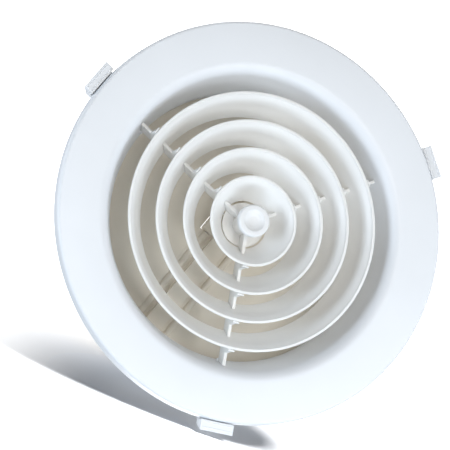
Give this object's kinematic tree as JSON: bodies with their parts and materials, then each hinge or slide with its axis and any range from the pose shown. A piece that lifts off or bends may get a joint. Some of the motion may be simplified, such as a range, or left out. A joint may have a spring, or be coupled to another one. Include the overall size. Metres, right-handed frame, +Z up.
{
  "type": "ceiling_air_diffuser",
  "caption": "Round white ceiling air diffuser with a wide flange, nested cone rings, a centre knob for the butterfly damper, and a round duct collar behind",
  "frame": {"origin": "the centre of volume of the whole unit at rest, on the air axis; the plane where the flange rim meets the ceiling is 13.8 mm below it", "axes": "+Z up into the ceiling void along the duct, the face looks down along -Z; X runs along the damper's hinge bar, and one clamp arm is on +Y"},
  "size_m": [0.3472, 0.3571, 0.109],
  "materials": {
    "frame_white": "satin white stove enamel with a fine orange-peel texture",
    "core_white": "satin white enamel on thin pressed cones and arms",
    "knob_white": "satin white moulded plastic",
    "damper_grey": "matt warm off-white paint",
    "plated_steel": "zinc plated steel",
    "seal_foam": "light grey closed-cell foam",
    "clamp_white": "satin white paint on folded spring steel"
  },
  "bodies": {
    "housing": {"face_frame": "frame_white", "ceiling_seal": "seal_foam", "duct_collar": "frame_white", "collar_screw_1": "plated_steel", "collar_screw_2": "plated_steel", "collar_screw_3": "plated_steel", "damper_bar": "damper_grey", "bar_rivet_1": "plated_steel", "bar_rivet_2": "plated_steel", "hinge_rod_1": "plated_steel", "hinge_rod_2": "plated_steel", "clamp_pin_1": "plated_steel", "clamp_pin_2": "plated_steel", "clamp_pin_3": "plated_steel", "clamp_spring_1": "plated_steel", "clamp_spring_2": "plated_steel", "clamp_spring_3": "plated_steel"},
    "core": {"cone_ring_1": "core_white", "cone_ring_2": "core_white", "cone_ring_3": "core_white", "cone_ring_4": "core_white", "core_spider": "core_white"},
    "knob": {"damper_knob": "knob_white", "knob_clip": "plated_steel"},
    "screw": {"lift_screw": "plated_steel", "screw_clip": "plated_steel"},
    "rack": {"lift_rack": "knob_white"},
    "blade_1": {"damper_blade_1": "damper_grey"},
    "blade_2": {"damper_blade_2": "damper_grey"},
    "clamp_1": {"clamp_arm_1": "clamp_white"},
    "clamp_2": {"clamp_arm_2": "clamp_white"},
    "clamp_3": {"clamp_arm_3": "clamp_white"}
  },
  "joints": [
    {"name": "core_pull", "type": "slide", "parent": "housing", "child": "core", "axis": [0, 0, -1], "range_m": [0, 0.06]},
    {"name": "knob_turn", "type": "hinge", "parent": "core", "child": "knob", "pos_m": [0, 0, -0.0258], "axis": [0, 0, -1], "range_deg": [0, 270]},
    {"name": "screw_turn", "type": "hinge", "parent": "housing", "child": "screw", "pos_m": [0, 0, 0.0312], "axis": [0, 0, -1], "range_deg": [0, 270]},
    {"name": "rack_travel", "type": "slide", "parent": "housing", "child": "rack", "axis": [0, 0, -1], "range_m": [0, 0.01047]},
    {"name": "blade_1_fold", "type": "hinge", "parent": "housing", "child": "blade_1", "pos_m": [0, 0.015, 0.0322], "axis": [1, 0, 0], "range_deg": [0, 75]},
    {"name": "blade_2_fold", "type": "hinge", "parent": "housing", "child": "blade_2", "pos_m": [0, -0.015, 0.0322], "axis": [-1, 0, 0], "range_deg": [0, 75]},
    {"name": "clamp_1_fold", "type": "hinge", "parent": "housing", "child": "clamp_1", "pos_m": [0, 0.1325, -0.0068], "axis": [1, 0, 0], "range_deg": [0, 80]},
    {"name": "clamp_2_fold", "type": "hinge", "parent": "housing", "child": "clamp_2", "pos_m": [-0.11475, -0.06625, -0.0068], "axis": [-0.5, 0.866, 0], "range_deg": [0, 80]},
    {"name": "clamp_3_fold", "type": "hinge", "parent": "housing", "child": "clamp_3", "pos_m": [0.11475, -0.06625, -0.0068], "axis": [-0.5, -0.866, 0], "range_deg": [0, 80]}
  ],
  "couplings": [
    {"joint": "blade_2_fold", "follows": "blade_1_fold", "ratio": 1},
    {"joint": "rack_travel", "follows": "blade_1_fold", "m_per_rad": 0.008},
    {"joint": "screw_turn", "follows": "blade_1_fold", "ratio": 3.6},
    {"joint": "knob_turn", "follows": "blade_1_fold", "ratio": 3.6}
  ]
}
